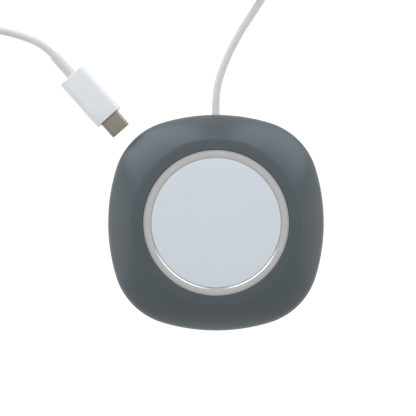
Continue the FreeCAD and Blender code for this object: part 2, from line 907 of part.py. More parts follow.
def make_plug_springs():
    """Latch springs at the sides of the mouth, and grounding strips above and below it."""
    side = size("slotWidth") / 2
    latches = [Part.makeBox(6.0, 0.2, 0.7, Vector(-0.5, y, -0.35)) for y in (side - 0.2, -side)]
    keep(put_on_plug(shape_feature(Part.makeCompound(latches))), "latch_springs")
    roof = size("shellHeight") / 2 - size("shellWall")
    strips = [Part.makeBox(1.2, 4.4, 0.15, Vector(size("shellLength") - 1.6, -2.2, z))
              for z in (roof - 0.15, -roof)]
    keep(put_on_plug(shape_feature(Part.makeCompound(strips))), "ground_springs")


def make_plug_card():
    card = block("-cardFront - cardLength", "-cardWidth / 2", "-cardThickness / 2",
                 "cardLength", "cardWidth", "cardThickness")
    keep(put_on_plug(grouped([card])), "plug_card")
    chip = block("-cardFront - 6.5", "-1.25", "cardThickness / 2", "2.5", "2.5", "0.6")
    keep(put_on_plug(grouped([chip])), "plug_chip")


def make_plug_can():
    outer = block("-canFront - canLength", "-canWidth / 2", "-canHeight / 2",
                  "canLength", "canWidth", "canHeight")
    inner = block("-canFront - canLength + canWall", "-canWidth / 2 + canWall",
                  "-canHeight / 2 + canWall", "canLength", "canWidth - 2 * canWall",
                  "canHeight - 2 * canWall")
    hole = doc.addObject("Part::Cylinder", "CanHole")
    hole.Placement = Placement(Vector(), Rotation(Vector(0, 1, 0), 90))
    bind(hole, Radius="cableRadius", Height="2", Placement_Base_x="-canFront - canLength - 1")
    keep(put_on_plug(cut(outer, inner, hole)), "plug_inner_can")


def make_plug_collar():
    body = new_body("PlugCollar")
    rear = "-plugLength - collarLength"
    profile = [
        (rear, "cableRadius"),
        ("-plugLength + plugRearWall", "cableRadius"),
        ("-plugLength + plugRearWall", "collarRadius"),
        ("-plugLength", "collarRadius"),
        (rear + " + collarTipEdge", "collarTipRadius"),
        (rear, "collarTipRadius - collarTipEdge"),
    ]
    revolve(body, outline(body, "XZ_Plane", profile), "H_Axis")
    keep(put_on_plug(body), "plug_collar")


def make_plug_cable_end():
    start, finish = -size("plugLength") - size("collarLength"), -size("canFront") - size("canLength")
    stub = Part.makeCylinder(size("cableRadius"), finish - start + size("canWall"),
                             Vector(start, 0, 0), Vector(1, 0, 0))
    keep(put_on_plug(shape_feature(stub)), "cable_in_plug")
    body = new_body("PlugFerrule")
    profile = [
        ("-canFront - canLength - 1.7", "cableRadius"),
        ("-canFront - canLength", "cableRadius"),
        ("-canFront - canLength", "cableRadius + 0.25"),
        ("-canFront - canLength - 1.7", "cableRadius + 0.25"),
    ]
    revolve(body, outline(body, "XZ_Plane", profile), "H_Axis")
    keep(put_on_plug(body), "plug_ferrule")


def make_plug_wires():
    start = -size("canFront") - size("canLength") + size("canWall")
    finish = -size("cardFront") - size("cardLength") + 1.2
    top = size("cardThickness") / 2 + size("coreRadius") + 0.02
    cores = [Part.makeCylinder(size("coreRadius"), finish - start, Vector(start, y, top),
                               Vector(1, 0, 0)) for y in core_places()]
    keep(put_on_plug(shape_feature(Part.makeCompound(cores))), "plug_wires")


def check_and_write():
    doc.recompute()
    for item in doc.Objects:
        if "Invalid" in item.State or "Error" in item.State:
            raise RuntimeError("%s did not build: %s" % (item.Label, item.State))
    for item in sub_parts:
        if item.Shape.isNull() or not item.Shape.isValid() or not item.Shape.Solids:
            raise RuntimeError("%s has no valid solid" % item.Label)
    os.makedirs("parts", exist_ok=True)
    for item in sub_parts:
        item.Shape.exportStep("parts/%s.step" % item.Label)
    print("%d parts written" % len(sub_parts))


for make in (make_silicone_holder, make_weight_plate, make_grip_pad, make_puck_housing,
             make_puck_face, make_board, make_board_parts, make_shield_can, make_wire_cores,
             make_solder_joints, make_coil_frame, make_ferrite, make_charging_coil,
             make_coil_leads, make_screen_film, make_magnets, make_cable_boot,
             make_cable_clamp, make_cables, make_spare_cable, make_cable_ties,
             make_plug_housing, make_plug_bezel, make_plug_shell, make_plug_insulator,
             make_contacts, make_plug_springs, make_plug_card, make_plug_can,
             make_plug_collar, make_plug_cable_end, make_plug_wires):
    make()
check_and_write()
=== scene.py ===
import json
import math

import bmesh
import bpy
from mathutils import Matrix, Vector


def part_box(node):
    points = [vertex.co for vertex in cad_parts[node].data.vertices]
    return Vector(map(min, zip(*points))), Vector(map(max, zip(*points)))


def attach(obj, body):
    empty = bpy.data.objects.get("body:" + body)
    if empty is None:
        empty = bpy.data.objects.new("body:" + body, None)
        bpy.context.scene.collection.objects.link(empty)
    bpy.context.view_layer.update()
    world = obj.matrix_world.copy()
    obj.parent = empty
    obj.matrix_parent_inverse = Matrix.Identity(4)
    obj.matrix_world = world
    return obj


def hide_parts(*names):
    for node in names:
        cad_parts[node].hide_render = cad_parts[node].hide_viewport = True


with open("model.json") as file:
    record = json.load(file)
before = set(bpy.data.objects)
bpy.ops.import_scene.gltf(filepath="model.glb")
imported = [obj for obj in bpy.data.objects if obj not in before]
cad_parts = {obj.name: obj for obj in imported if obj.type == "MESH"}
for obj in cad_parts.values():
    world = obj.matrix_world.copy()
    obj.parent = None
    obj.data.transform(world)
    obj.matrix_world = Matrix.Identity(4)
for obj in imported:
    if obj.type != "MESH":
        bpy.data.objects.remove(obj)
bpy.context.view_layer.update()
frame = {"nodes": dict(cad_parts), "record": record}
mm = 0.001
body = "root"


def middle(node):
    low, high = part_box(node)
    return (low + high) / 2


# ---- camera

# it hangs over the middle of the table and looks straight down
cameraSet = {
    "height": 450 * mm,
    "across": -3.1 * mm,
    "up": 5.7 * mm,
    "lens": 99.5,
    "sensor": 36.0,
}


def makeCamera():
    data = bpy.data.cameras.new("overheadCamera")
    data.lens = cameraSet["lens"]
    data.sensor_width = cameraSet["sensor"]
    data.clip_start = 0.01
    camera = bpy.data.objects.new("overheadCamera", data)
    camera.location = (cameraSet["across"], cameraSet["up"], cameraSet["height"])
    bpy.context.scene.collection.objects.link(camera)
    bpy.context.scene.camera = camera


makeCamera()
print("camera placed")

# ---- the free cable

cableSet = {
    "radius": 1.5 * mm,
    "roundness": 7,
    "smoothness": 10,
    "length": 0.95,
    "spareCentre": (5.0 * mm, 110.2 * mm),
    "stepsPerTurn": 16,
    "firstAngle": 15 + 360,
    "lastAngle": 2955,
    # the first ring's radius and height in millimetres, as in the list below
    "firstRing": (18.6, 2.0),
    # where the winding moves to its next ring: from angle, to angle, radius, height
    "moves": [(615, 675, 15.6, 2.0), (975, 1035, 12.6, 2.0), (1290, 1345, 12.6, 5.0),
              (1600, 1660, 15.6, 5.0), (1960, 2020, 18.6, 5.0), (2265, 2335, 14.1, 7.6),
              (2585, 2645, 17.1, 7.6), (2915, 2975, 19.3, 7.7)],
}

# corners of the two free stretches, out of the holder and on to the connector
routeToSpare = [
    (0.0, 0.0420, 0.0016),
    (-0.0003, 0.0505, 0.0016),
    (0.0030, 0.0618, 0.0015),
    (0.0091, 0.0740, 0.0015),
    (0.0166, 0.0850, 0.0015),
    (0.0228, 0.0960, 0.0016),
    (0.02604, 0.10489, 0.0020),
]
routeToPlug = [
    (-0.00244, 0.13014, 0.0075),
    (-0.0150, 0.1253, 0.0066),
    (-0.0300, 0.1176, 0.0042),
    (-0.0460, 0.1124, 0.0022),
    (-0.0615, 0.1100, 0.0015),
    (-0.0760, 0.1096, 0.0015),
    (-0.0888, 0.1074, 0.0015),
    (-0.0969, 0.1015, 0.0015),
    (-0.1005, 0.0928, 0.0015),
    (-0.0987, 0.0836, 0.0015),
    (-0.0922, 0.0766, 0.0015),
    (-0.0822, 0.0745, 0.0015),
    (-0.0744, 0.0724, 0.0019),
    (-0.0667, 0.0689, 0.0031),
]


def smoothStep(share):
    share = min(max(share, 0.0), 1.0)
    return share * share * (3 - 2 * share)


def ringAt(angle):
    radius, height = cableSet["firstRing"]
    for start, stop, nextRadius, nextHeight in cableSet["moves"]:
        share = smoothStep((angle - start) / (stop - start))
        radius += (nextRadius - radius) * share
        height += (nextHeight - height) * share
    return radius * mm, height * mm


def spareTurns():
    step = 360 / cableSet["stepsPerTurn"]
    # a spline cuts inside its control points, so they stand a little further out
    outwards = 1 / (0.75 + 0.25 * math.cos(math.radians(step)))
    centreX, centreY = cableSet["spareCentre"]
    points = []
    angle = cableSet["firstAngle"]
    while angle <= cableSet["lastAngle"]:
        radius, height = ringAt(angle)
        turn = math.radians(angle)
        points.append((centreX + radius * outwards * math.cos(turn),
                       centreY + radius * outwards * math.sin(turn), height))
        angle += step
    return points


plugShellMiddle = middle("plug_shell")
plugHousingMiddle = middle("plug_housing")
plugAxis = (plugShellMiddle - plugHousingMiddle).normalized()

plugSet = {
    "bodyLength": 21.7 * mm,
    "collarLength": 10.4 * mm,
}
plugFront = plugHousingMiddle + plugAxis * plugSet["bodyLength"] / 2
collarEnd = plugFront - plugAxis * (plugSet["bodyLength"] + plugSet["collarLength"])


def makeCable():
    points = routeToSpare + spareTurns() + routeToPlug + [tuple(collarEnd)]
    data = bpy.data.curves.new("chargingCable", "CURVE")
    data.dimensions = "3D"
    data.bevel_depth = 1.0  # times each point's own radius
    data.bevel_resolution = cableSet["roundness"]
    data.resolution_u = cableSet["smoothness"]
    data.use_fill_caps = True
    spline = data.splines.new("NURBS")
    spline.points.add(len(points) - 1)
    for control, place in zip(spline.points, points):
        control.co = (*place, 1.0)
        control.radius = cableSet["radius"]
    spline.order_u = 3
    spline.use_endpoint_u = True
    cable = bpy.data.objects.new("chargingCable", data)
    bpy.context.scene.collection.objects.link(cable)
    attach(cable, body)
    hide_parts("cable_pad_to_spare", "cable_spare_turns", "cable_spare_to_plug")
    return cable


cable = makeCable()
print("cable laid")

# ---- meshes from rings of points

def skin(name, rings, loop=False):
    # a closed skin over rings of points: a loop of them, or a run closed by a fan at each end
    mesh = bpy.data.meshes.new(name)
    shape = bmesh.new()
    rows = [[shape.verts.new(point) for point in ring] for ring in rings]
    pairs = list(zip(rows, rows[1:]))
    if loop:
        pairs.append((rows[-1], rows[0]))
    for near, far in pairs:
        count = len(near)
        for i in range(count):
            j = (i + 1) % count
            shape.faces.new((near[i], near[j], far[j], far[i]))
    if not loop:
        for row, flip in ((rows[0], True), (rows[-1], False)):
            hub = shape.verts.new(sum((v.co for v in row), Vector()) / len(row))
            for i in range(len(row)):
                edge = (row[i], row[(i + 1) % len(row)], hub)
                shape.faces.new(edge[::-1] if flip else edge)
    bmesh.ops.recalc_face_normals(shape, faces=shape.faces)
    shape.to_mesh(mesh)
    shape.free()
    thing = bpy.data.objects.new(name, mesh)
    bpy.context.scene.collection.objects.link(thing)
    return thing


def smoothShade(thing, angle):
    for face in thing.data.polygons:
        face.use_smooth = True
    thing.data.set_sharp_from_angle(angle=math.radians(angle))


def arc(centreX, centreY, radius, start, stop, steps):
    points = []
    for i in range(steps + 1):
        turn = math.radians(start + (stop - start) * i / steps)
        points.append((centreX + radius * math.cos(turn), centreY + radius * math.sin(turn)))
    return points


def circleRing(radius, height, count):
    return [Vector((radius * math.cos(2 * math.pi * i / count),
                    radius * math.sin(2 * math.pi * i / count), height)) for i in range(count)]


def lathe(name, profile, count):
    return skin(name, [circleRing(radius, height, count) for radius, height in profile])


# ---- shader trees

class Wire:
    # one value in a shader tree; sums written with it add Math nodes
    def __init__(self, finish, socket):
        self.finish = finish
        self.socket = socket

    def work(self, operation, first, second):
        return self.finish.add("ShaderNodeMath", {"operation": operation}, {0: first, 1: second})

    def __add__(self, other):
        return self.work("ADD", self, other)

    def __radd__(self, other):
        return self.work("ADD", other, self)

    def __sub__(self, other):
        return self.work("SUBTRACT", self, other)

    def __rsub__(self, other):
        return self.work("SUBTRACT", other, self)

    def __mul__(self, other):
        return self.work("MULTIPLY", self, other)

    def __rmul__(self, other):
        return self.work("MULTIPLY", other, self)


class Finish:
    # a material under construction
    def __init__(self, name):
        self.material = bpy.data.materials.new(name)
        self.material.use_nodes = True
        self.tree = self.material.node_tree
        self.tree.nodes.clear()

    def add(self, kind, settings=None, values=None, out=0):
        node = self.tree.nodes.new(kind)
        for name, setting in (settings or {}).items():
            setattr(node, name, setting)
        for name, value in (values or {}).items():
            if isinstance(value, Wire):
                self.tree.links.new(value.socket, node.inputs[name])
            else:
                node.inputs[name].default_value = value
        return Wire(self, node.outputs[out]) if node.outputs else node

    def place(self):
        return self.add("ShaderNodeTexCoord", out="Object")

    def noise(self, size, detail=3.0, vector=None):
        # size is how far apart the noise's bumps are, in metres
        return self.add("ShaderNodeTexNoise", None, {
            "Vector": vector or self.place(), "Scale": 1 / size,
            "Detail": detail, "Roughness": 0.55})

    def rise(self, value, low, high):
        # 0 below low and 1 above high, with a soft slope between
        return self.add("ShaderNodeMapRange", {"interpolation_type": "SMOOTHSTEP"}, {
            "Value": value, "From Min": low, "From Max": high})

    def blendColours(self, share, first, second):
        ends = [(*end, 1.0) if isinstance(end, tuple) else end for end in (first, second)]
        return self.add("ShaderNodeMix", {"data_type": "RGBA"}, {
            "Factor": share, 6: ends[0], 7: ends[1]}, out=2)

    def clouds(self, look):
        # two near shades of one colour, in soft patches
        return self.blendColours(self.noise(look["patch"]), look["dark"], look["pale"])

    def bump(self, height, distance, strength):
        return self.add("ShaderNodeBump", None, {
            "Height": height, "Distance": distance, "Strength": strength})

    def finish(self, values):
        shader = self.add("ShaderNodeBsdfPrincipled", None, values)
        self.add("ShaderNodeOutputMaterial", None, {"Surface": shader})
        return self.material


def linear(red, green, blue):
    # a shade given as on a screen, 0 to 255, as the shader wants it
    def one(value):
        value /= 255
        return value / 12.92 if value <= 0.04045 else ((value + 0.055) / 1.055) ** 2.4
    return (one(red), one(green), one(blue))


def siliconeFinish():
    look = {"dark": linear(72, 80, 84), "pale": linear(78, 86, 90), "patch": 9 * mm,
            "rough": 0.24, "smudge": 3 * mm, "smudged": 0.08, "grain": 0.22 * mm,
            "uneven": 0.04, "relief": 0.004 * mm, "strength": 0.5}
    f = Finish("slateSilicone")
    grain = f.noise(look["grain"], detail=2.0)
    smudge = f.noise(look["smudge"])
    return f.finish({"Base Color": f.clouds(look),
                     "Roughness": look["rough"] + look["smudged"] * smudge + look["uneven"] * grain,
                     "Normal": f.bump(grain, look["relief"], look["strength"])})


def aluminiumFinish():
    # shoulder is a painted shade colour: the ring's outer edge darkens towards the silicone lip, in
    # place of the shade that falls there
    look = {"dark": linear(198, 196, 194), "pale": linear(206, 204, 202), "patch": 6 * mm,
            "rough": 0.33, "beads": 0.12 * mm, "uneven": 0.08, "turning": 2.2 * mm,
            "relief": 0.003 * mm, "strength": 0.5, "shoulder": linear(164, 159, 153),
            "dullShadeFrom": 26.6 * mm, "dullShadeTo": 28.1 * mm, "dullRough": 0.4, "dullMetal": 0.95}
    f = Finish("satinAluminium")
    beads = f.noise(look["beads"], detail=2.0)
    rings = f.add("ShaderNodeTexWave", {"wave_type": "RINGS", "rings_direction": "Z"}, {
        "Vector": f.place(), "Scale": 1 / look["turning"], "Distortion": 0.4, "Detail": 2.0})
    # the ring's outer shoulder is rougher and less metallic than its flat top, and its colour
    # darkens there as painted shade
    flat = f.add("ShaderNodeVectorMath", {"operation": "MULTIPLY"}, {0: f.place(), 1: (1, 1, 0)})
    outwards = f.add("ShaderNodeVectorMath", {"operation": "LENGTH"}, {0: flat}, out="Value")
    dullAndShade = f.rise(outwards, look["dullShadeFrom"], look["dullShadeTo"])
    return f.finish({"Base Color": f.blendColours(dullAndShade, f.clouds(look), look["shoulder"]),
                     "Metallic": 1.0 - look["dullMetal"] * dullAndShade,
                     "Roughness": (look["rough"] + look["uneven"] * beads
                                   + look["dullRough"] * dullAndShade),
                     "Normal": f.bump(beads * 0.7 + rings * 0.3, look["relief"],
                                      look["strength"])})


def polishedFinish():
    look = {"dark": linear(205, 205, 206), "pale": linear(214, 214, 216), "patch": 3 * mm,
            "rough": 0.17, "smudge": 0.5 * mm, "smudged": 0.05}
    f = Finish("polishedEdge")
    return f.finish({"Base Color": f.clouds(look), "Metallic": 1.0,
                     "Roughness": look["rough"] + look["smudged"] * f.noise(look["smudge"])})


def plainFinish(name, look):
    # a moulded or painted surface with a fine grain
    f = Finish(name)
    grain = f.noise(look["grain"], detail=2.0)
    return f.finish({"Base Color": f.clouds(look),
                     "Roughness": look["rough"] + look["uneven"] * grain,
                     "Normal": f.bump(grain, look["relief"], look["strength"])})


def shellFinish():
    look = {"dark": linear(144, 135, 122), "pale": linear(156, 147, 135), "patch": 2.5 * mm,
            "rough": 0.28, "lines": 0.08 * mm, "drawnOut": 0.06, "uneven": 0.12,
            "relief": 0.002 * mm, "strength": 0.5}
    f = Finish("satinSteel")
    # fine lines drawn out along the connector
    along = f.add("ShaderNodeMapping", None, {
        "Vector": f.place(), "Rotation": (0.0, 0.0, -math.atan2(plugAxis.y, plugAxis.x)),
        "Scale": (look["drawnOut"], 1.0, 1.0)})
    lines = f.noise(look["lines"], detail=2.0, vector=along)
    return f.finish({"Base Color": f.clouds(look), "Metallic": 1.0,
                     "Roughness": look["rough"] + look["uneven"] * lines,
                     "Normal": f.bump(lines, look["relief"], look["strength"])})


def smallPartFinish(slotRecord):
    # the pieces that are carried over as they are, most of them shut away inside
    metals = {"brushed_steel": 0.3, "chrome": 0.12, "brass": 0.28, "aluminium": 0.35}
    kind = slotRecord["class"]
    colour = tuple(slotRecord["base_color"][:3])
    look = {"dark": tuple(channel * 0.82 for channel in colour), "pale": colour,
            "patch": 1.5 * mm, "rough": metals.get(kind, 0.55) - 0.05, "grain": 0.3 * mm,
            "uneven": 0.12, "relief": 0.004 * mm, "strength": 0.5}
    f = Finish(slotRecord["slot"] + "Finish")
    grain = f.noise(look["grain"])
    return f.finish({"Base Color": f.clouds(look), "Metallic": 1.0 if kind in metals else 0.0,
                     "Roughness": look["rough"] + look["uneven"] * grain,
                     "Normal": f.bump(grain, look["relief"], look["strength"])})


faceLook = {"dark": linear(214, 219, 223), "pale": linear(218, 222, 226), "patch": 14 * mm,
            "rough": 0.4, "uneven": 0.06, "grain": 0.18 * mm, "relief": 0.002 * mm,
            "strength": 0.4}
cableLook = {"dark": linear(207, 206, 203), "pale": linear(212, 211, 208), "patch": 5 * mm,
             "rough": 0.38, "uneven": 0.08, "grain": 0.25 * mm, "relief": 0.004 * mm,
             "strength": 0.4}
plugLook = {"dark": linear(225, 226, 227), "pale": linear(229, 230, 231), "patch": 7 * mm,
            "rough": 0.2, "uneven": 0.06, "grain": 0.6 * mm, "relief": 0.003 * mm,
            "strength": 0.35}
finishes = {
    "silicone_slate": siliconeFinish(),
    "puck_aluminium": aluminiumFinish(),
    "face_white": plainFinish("paleFace", faceLook),
    "cable_white": plainFinish("whiteJacket", cableLook),
    "plug_white": plainFinish("glossyWhite", plugLook),
    "plug_metal": shellFinish(),
}
for slotRecord in frame["record"]["materials"]:
    if slotRecord["slot"] not in finishes:
        finishes[slotRecord["slot"]] = smallPartFinish(slotRecord)
polished = polishedFinish()
slotOf = {part["node"]: part["material_slot"] for part in frame["record"]["subparts"]}
for node, thing in frame["nodes"].items():
    for slot in thing.material_slots:
        slot.material = finishes[slotOf[node]]
print("finishes made")


def dress(thing, slotName, *nodes, extra=()):
    for material in (finishes[slotName], *extra):
        thing.data.materials.append(material)
    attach(thing, body)
    if nodes:
        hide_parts(*nodes)
    return thing


cable.data.materials.append(finishes["cable_white"])

# ---- silicone holder

holderLow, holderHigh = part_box("silicone_holder")
puckLow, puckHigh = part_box("puck_housing")
holderSet = {
    "halfWidth": holderHigh.x,
    "halfDiagonal": 45.5 * mm,
    "cornerRadius": 26.9 * mm,
    "rim": 32.0 * mm,
    "top": holderHigh.z,
    "skirtFoot": 3.5 * mm,
    "skirtReach": 9.65 * mm,
    "straightness": 0.76,
    "creaseSoftness": 0.28 * mm,
    "lip": 0.2 * mm,
    "pocket": 27.95 * mm,
    "pocketFloor": (9 * mm, 20 * mm),
    "upperRound": 2.05 * mm,
    "upperTurn": 39,
    "footRound": 1.35 * mm,
    "footInset": 3.2 * mm,
    "padInset": 4.9 * mm,
    "plate": 30.5 * mm,
    "around": 320,
    # where the rings of the upper side lie, in millimetres out from the rim
    "flatSteps": (-3.2, -2.6, -2.0),
    "creaseSteps": (-1.5, -1.1, -0.8, -0.6, -0.4, -0.25, -0.1, 0.05, 0.2, 0.35, 0.55, 0.8, 1.2),
    "slopeSteps": [1.7 + 0.6 * i for i in range(14)],
}


def outlineRadius(angle, half, diagonal, corner):
    # eight tangent arcs: long ones along the sides, short ones round the corners
    if diagonal - half < 0.0001 * mm:  # hardly off a circle
        return half
    centre = (diagonal - corner) / math.sqrt(2)
    side = (corner ** 2 - (half - centre) ** 2 - centre ** 2) / (2 * (corner - half + centre))
    meet = math.atan2(centre, centre - half + side)
    folded = abs((angle + math.pi / 4) % (math.pi / 2) - math.pi / 4)
    if folded <= math.atan2(side * math.sin(meet), half - side + side * math.cos(meet)):
        x, y, radius = half - side, 0.0, side
    else:
        x, y, radius = centre, centre, corner
    along = x * math.cos(folded) + y * math.sin(folded)
    return along + math.sqrt(along ** 2 - x ** 2 - y ** 2 + radius ** 2)


def holderRing(beyond, height, inset=0.0):
    # beyond is how far outside the round rim the ring runs, measured at the middle of a side
    rim = holderSet["rim"]
    count = holderSet["around"]
    spread = beyond / (holderSet["halfWidth"] - rim)
    if spread <= 0:
        return circleRing(rim + beyond - inset, height, count)
    half = rim + beyond - inset
    diagonal = rim + (holderSet["halfDiagonal"] - rim) * spread - inset
    corner = rim + (holderSet["cornerRadius"] - rim) * spread - inset
    ring = []
    for i in range(count):
        angle = 2 * math.pi * i / count
        radius = outlineRadius(angle, half, diagonal, corner)
        ring.append(Vector((radius * math.cos(angle), radius * math.sin(angle), height)))
    return ring


def skirtHeight(beyond):
    soft = (beyond + math.sqrt(beyond ** 2 + holderSet["creaseSoftness"] ** 2)) / 2
    share = soft / holderSet["skirtReach"]
    drop = holderSet["top"] - holderSet["skirtFoot"]
    straight = holderSet["straightness"]
    return holderSet["top"] - drop * (straight * share + (1 - straight) * share ** 3)


def holderRings():
    top, lip, pocket = holderSet["top"], holderSet["lip"], holderSet["pocket"]
    rim, floor = holderSet["rim"], puckLow.z
    hub = holderSet["pocketFloor"][0]
    rings = [circleRing(radius, floor, holderSet["around"]) for radius in holderSet["pocketFloor"]]
    wall = [(pocket, floor), (pocket, (floor + top) / 2), (pocket, top - lip)]
    for radius, height in wall + arc(pocket + lip, top - lip, lip, 180, 90, 6)[1:]:
        rings.append(circleRing(radius, height, holderSet["around"]))
    for step in holderSet["flatSteps"]:
        rings.append(circleRing(rim + step * mm, top, holderSet["around"]))
    for step in (*holderSet["creaseSteps"], *holderSet["slopeSteps"]):
        rings.append(holderRing(step * mm, skirtHeight(step * mm)))
    full = holderSet["halfWidth"] - rim
    upper, turn = holderSet["upperRound"], holderSet["upperTurn"]
    upperHeight = holderSet["skirtFoot"] - upper * math.sin(math.radians(turn))
    foot = holderSet["footRound"]
    edge = arc(full - upper, upperHeight, upper, turn, 0, 8)
    edge += arc(full - foot, holderLow.z + foot, foot, 0, -90, 10)
    for beyond, height in edge:
        rings.append(holderRing(beyond, height))
    # the underside, with its recess for the grip pad and the plate's own above that
    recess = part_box("grip_pad_adhesive")[1].z
    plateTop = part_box("weight_plate")[1].z
    rings.append(holderRing(full, holderLow.z, holderSet["footInset"]))
    rings.append(holderRing(full, holderLow.z, holderSet["padInset"]))
    rings.append(holderRing(full, recess, holderSet["padInset"]))
    for radius, height in ((holderSet["plate"], recess), (holderSet["plate"], plateTop),
                           (hub, plateTop)):
        rings.append(circleRing(radius, height, holderSet["around"]))
    return rings


def tubeAlong(name, points, radius, count):
    rings = []
    for i, point in enumerate(points):
        ahead = points[min(i + 1, len(points) - 1)] - points[max(i - 1, 0)]
        across = Vector((1, 0, 0))
        up = across.cross(ahead.normalized())
        rings.append([point + across * radius * math.cos(2 * math.pi * k / count)
                      + up * radius * math.sin(2 * math.pi * k / count) for k in range(count)])
    return skin(name, rings)


channelSet = {
    "radius": 1.65 * mm,
    "bend": 7.4 * mm,
    "lean": 59,
    "steps": 8,
    "around": 40,
    "runOut": 3 * mm,
}


def channelPoints():
    # the lower half of the S that the cable takes down through the holder, and straight on
    bend, steps = channelSet["bend"], channelSet["steps"]
    end = Vector(routeToSpare[0])
    points = [end + Vector((0, channelSet["runOut"], 0))]
    for i in range(steps + 1):
        turn = math.radians(channelSet["lean"] * i / steps)
        points.append(end + Vector((0, -bend * math.sin(turn), bend * (1 - math.cos(turn)))))
    return points


def cutAway(thing, tool):
    change = thing.modifiers.new("cut", "BOOLEAN")
    change.operation = "DIFFERENCE"
    change.solver = "EXACT"
    change.object = tool
    depsgraph = bpy.context.evaluated_depsgraph_get()
    cutMesh = bpy.data.meshes.new_from_object(thing.evaluated_get(depsgraph))
    thing.modifiers.clear()
    thing.data = cutMesh
    bpy.data.objects.remove(tool)


def makeHolder():
    holder = skin("siliconeHolder", holderRings())
    channel = tubeAlong("channelTool", channelPoints(), channelSet["radius"], channelSet["around"])
    cutAway(holder, channel)
    smoothShade(holder, 40)
    dress(holder, "silicone_slate", "silicone_holder")


makeHolder()
print("holder made")

# ---- puck

puckSet = {
    "radius": puckHigh.x,
    "around": 256,
    "hub": 12 * mm,
    "heel": 0.8 * mm,
    "heelRun": 2 * mm,
    "shoulder": 0.4 * mm,
    # the ring's flat top falls by this much towards the chamfer, over leanRun
    "lean": 0.09 * mm,
    "leanRun": 0.9 * mm,
    "leanRound": 0.02 * mm,
    "bezel": 24.8 * mm,
    "chamfer": 0.6 * mm,
    "chamferDrop": 0.38 * mm,
    "ledge": 24.3 * mm,
    "ledgeHeight": 10.6 * mm,
    "faceEdge": 0.28 * mm,
    "faceCrown": 0.3 * mm,
    "faceHub": 6 * mm,
}


def makePuckShell():
    p = puckSet
    radius, low, top = p["radius"], puckLow.z, puckHigh.z
    outside = [(p["hub"], low), (radius - p["heel"] - p["heelRun"], low)]
    outside += arc(radius - p["heel"], low + p["heel"], p["heel"], -90, 0, 8)
    outside += arc(radius - p["shoulder"], top - p["shoulder"], p["shoulder"], 0, 90, 8)
    chamferOut = p["bezel"] + p["chamfer"]
    chamferTop = top - p["lean"]
    outside.append((chamferOut + p["leanRun"], (top + chamferTop) / 2 + p["leanRound"]))
    outside.append((chamferOut, chamferTop))
    chamferRing = len(outside) - 1
    outside.append((p["bezel"], chamferTop - p["chamferDrop"]))
    inside = [(p["bezel"], p["ledgeHeight"]), (p["ledge"], p["ledgeHeight"]),
              (p["ledge"], low + p["heel"]), (p["hub"], low + p["heel"])]
    count = p["around"]
    shell = lathe("puckShell", outside + inside, count)
    for face in shell.data.polygons[chamferRing * count:(chamferRing + 1) * count]:
        face.material_index = 1  # the polished one
    smoothShade(shell, 25)
    dress(shell, "puck_aluminium", "puck_housing", extra=[polished])


def makePuckFace():
    low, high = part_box("puck_face")
    edge, crown = puckSet["faceEdge"], puckSet["faceCrown"]
    turnDown = high.z - crown - edge
    profile = [(puckSet["faceHub"], low.z), (high.x, low.z), (high.x, turnDown)]
    profile += arc(high.x - edge, turnDown, edge, 0, 90, 6)[1:]
    profile += [(high.x * share, high.z - crown * share ** 2)
                for share in (0.95, 0.85, 0.7, 0.55, 0.4, 0.25)]
    face = lathe("puckFace", profile, puckSet["around"])
    smoothShade(face, 30)
    dress(face, "face_white", "puck_face")


makePuckShell()
makePuckFace()
print("puck made")

# ---- connector

plugShape = {
    "width": 11.9 * mm,
    "height": 6.2 * mm,
    "corner": 2.3 * mm,
    "rearRound": 0.35 * mm,
    "frontRound": 0.2 * mm,
    "wall": 1.1 * mm,
    "mouthDepth": 1.0 * mm,
    "alongBody": (0.66, 0.33),
    "bezelSink": 0.12 * mm,
    "bezelDepth": 0.95 * mm,
    "bezelEdge": 0.12 * mm,
    "bezelGap": 0.06 * mm,
    "holeGap": 0.04 * mm,
    "collarRadius": 2.05 * mm,
    "collarTip": 1.95 * mm,
    "collarEdge": 0.15 * mm,
    "collarStraight": 4 * mm,
    "collarSwell": 0.03 * mm,
    "collarTuck": 0.5 * mm,
    "collarBite": 0.1 * mm,
    "collarAround": 72,
    "shellWidth": 8.25 * mm,
    "shellHeight": 2.4 * mm,
    "shellLength": 6.9 * mm,
    "shellWall": 0.25 * mm,
    "shellTuck": 1.6 * mm,
    "shellFlat": 0.02 * mm,
    "cornerSteps": 12,
    "leastCorner": 0.1 * mm,
    "sliver": 0.001 * mm,
}
plugPlace = Matrix.Translation(plugFront) @ Matrix.Rotation(
    math.atan2(plugAxis.y, plugAxis.x), 4, "Z")


def roundedSection(x, width, height, corner):
    corner = min(corner, width / 2 - plugShape["sliver"], height / 2 - plugShape["sliver"])
    ring = []
    for startAngle, signY, signZ in ((0, 1, 1), (90, -1, 1), (180, -1, -1), (270, 1, -1)):
        centreY, centreZ = signY * (width / 2 - corner), signZ * (height / 2 - corner)
        for y, z in arc(centreY, centreZ, corner, startAngle, startAngle + 90,
                        plugShape["cornerSteps"]):
            ring.append(plugPlace @ Vector((x, y, z)))
    return ring


def shrunkSection(x, inset, width, height, corner):
    corner = max(corner - inset, plugShape["leastCorner"])
    return roundedSection(x, width - 2 * inset, height - 2 * inset, corner)


def makePlugBody():
    s = plugShape
    size = (s["width"], s["height"], s["corner"])
    length = plugSet["bodyLength"]
    rings = []
    for back, up in arc(0, 0, s["rearRound"], 0, 90, 8):
        rings.append(shrunkSection(-length + s["rearRound"] - back, s["rearRound"] - up, *size))
    for share in s["alongBody"]:
        rings.append(shrunkSection(-length * share, 0, *size))
    for ahead, up in arc(0, 0, s["frontRound"], 90, 0, 6):
        rings.append(shrunkSection(-s["frontRound"] + ahead, s["frontRound"] - up, *size))
    rings.append(shrunkSection(0, s["wall"], *size))
    rings.append(shrunkSection(-s["mouthDepth"], s["wall"], *size))
    housing = skin("plugBody", rings)
    smoothShade(housing, 35)
    dress(housing, "plug_white", "plug_housing")


